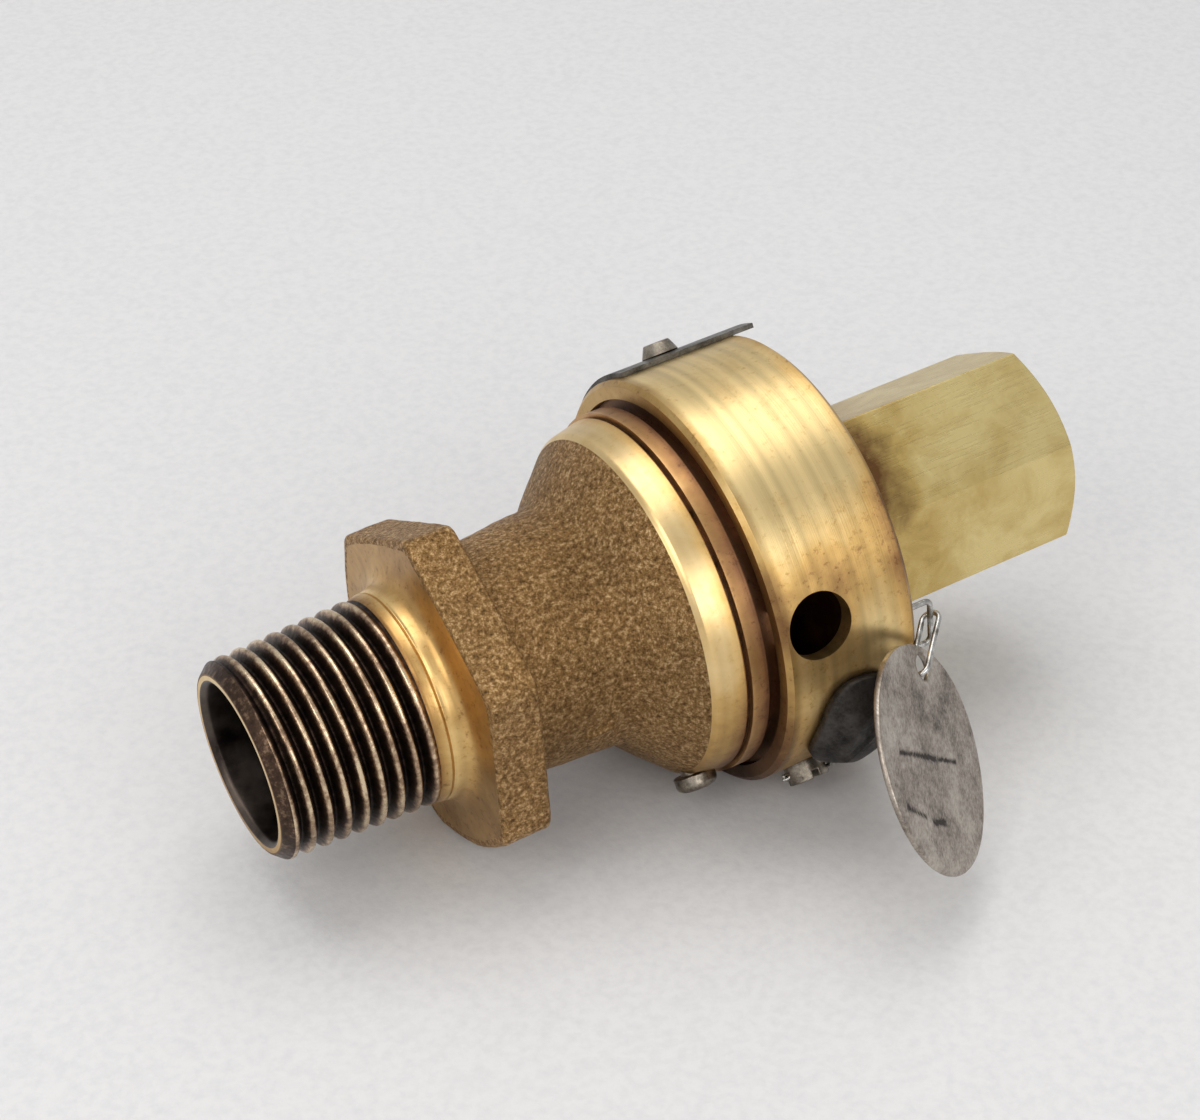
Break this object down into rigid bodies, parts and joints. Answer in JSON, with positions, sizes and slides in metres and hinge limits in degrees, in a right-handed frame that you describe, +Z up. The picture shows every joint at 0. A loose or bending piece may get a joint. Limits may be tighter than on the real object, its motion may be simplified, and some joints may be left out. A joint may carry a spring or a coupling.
{
  "type": "pop safety valve",
  "caption": "Side-lying bronze pop safety valve: tapered male inlet, wrench flange, turned discharge drum, hexagon spring cap, lead seal and round tag.",
  "frame": {"origin": "centre of the inlet end face, on the valve axis", "axes": "+X along the valve axis from the inlet to the cap, +Z up from the bench, +Y completes the right-handed frame"},
  "size_m": [0.0901, 0.0627, 0.0426],
  "materials": {
    "cast_bronze": "sand cast, blasted",
    "turned_brass": "turned, heat tinted",
    "bar_brass": "drawn hexagon bar",
    "stainless": "turned",
    "steel_screw": "plated, dulled",
    "spring_steel": "drawn wire",
    "copper_gasket": "soft, annealed",
    "plate_steel": "thin sheet",
    "lead": "pinched lead",
    "wire": "stainless wire",
    "tag_metal": "scuffed"
  },
  "bodies": {
    "body": {"body": "cast_bronze", "seat_bushing": "stainless", "bonnet_gasket": "copper_gasket", "bonnet": "turned_brass", "hood": "turned_brass", "spring": "spring_steel", "hood_screws": "steel_screw", "body_set_screw": "steel_screw", "nameplate": "plate_steel", "nameplate_screws": "steel_screw", "lead_seal": "lead", "seal_wire": "wire", "tag_bail": "wire"},
    "disc_and_spindle": {"valve_disc": "stainless", "spindle": "stainless", "lower_spring_washer": "turned_brass"},
    "blowdown_ring": {"blowdown_ring": "turned_brass"},
    "upper_spring_washer": {"upper_spring_washer": "turned_brass"},
    "adjusting_screw": {"adjusting_screw": "turned_brass"},
    "lock_washer": {"lock_washer": "stainless"},
    "lock_nut": {"lock_nut": "bar_brass"},
    "cap_gasket": {"cap_gasket": "copper_gasket"},
    "cap": {"cap": "bar_brass"},
    "ring_lock_screw": {"ring_lock_screw": "steel_screw"},
    "tag_ring": {"tag_ring": "wire"},
    "tag": {"tag": "tag_metal"}
  },
  "joints": [
    {"name": "disc_lift", "type": "slide", "parent": "body", "child": "disc_and_spindle", "axis": [1, 0, 0], "range_m": [0, 0.0022], "stiffness_N_per_m": 6800, "springref_m": -0.007, "deforming": ["spring"]},
    {"name": "blowdown_ring_turn", "type": "hinge", "parent": "body", "child": "blowdown_ring", "pos_m": [0.044, 0, 0], "axis": [1, 0, 0], "range_deg": [-2, 2]},
    {"name": "spring_washer_travel", "type": "slide", "parent": "body", "child": "upper_spring_washer", "axis": [1, 0, 0], "range_m": [-0.001, 0.001], "deforming": ["spring"]},
    {"name": "adjusting_screw_turn", "type": "hinge", "parent": "upper_spring_washer", "child": "adjusting_screw", "pos_m": [0.08, 0, 0], "axis": [1, 0, 0], "range_deg": [-360.1, 360.1]},
    {"name": "lock_washer_lift", "type": "slide", "parent": "body", "child": "lock_washer", "axis": [1, 0, 0], "range_m": [0, 0.0016]},
    {"name": "lock_nut_turn", "type": "hinge", "parent": "lock_washer", "child": "lock_nut", "pos_m": [0.082, 0, 0], "axis": [1, 0, 0], "range_deg": [0, 576.1]},
    {"name": "cap_gasket_lift", "type": "slide", "parent": "body", "child": "cap_gasket", "axis": [1, 0, 0], "range_m": [0, 0.008]},
    {"name": "cap_unscrew", "type": "hinge", "parent": "cap_gasket", "child": "cap", "pos_m": [0.075, 0, 0], "axis": [1, 0, 0], "range_deg": [0, 1920]},
    {"name": "ring_lock_screw_draw", "type": "slide", "parent": "body", "child": "ring_lock_screw", "axis": [0, 0.9962, 0.0872], "range_m": [0, 0.0024]},
    {"name": "tag_ring_swing", "type": "hinge", "parent": "body", "child": "tag_ring", "pos_m": [0.0647, -0.02012, 0.00105], "axis": [0, 0.0523, 0.9986], "range_deg": [0, 12]},
    {"name": "tag_swing", "type": "hinge", "parent": "tag_ring", "child": "tag", "pos_m": [0.06085, -0.02379, -0.00048], "axis": [0.648, -0.632, 0.425], "range_deg": [-20, 20]}
  ],
  "couplings": [
    {"joint": "adjusting_screw_turn", "follows": "spring_washer_travel", "rad_per_m": 6283.2},
    {"joint": "lock_nut_turn", "follows": "lock_washer_lift", "rad_per_m": 6283.2},
    {"joint": "cap_gasket_lift", "follows": "cap_unscrew", "m_per_rad": 0.00023873}
  ]
}
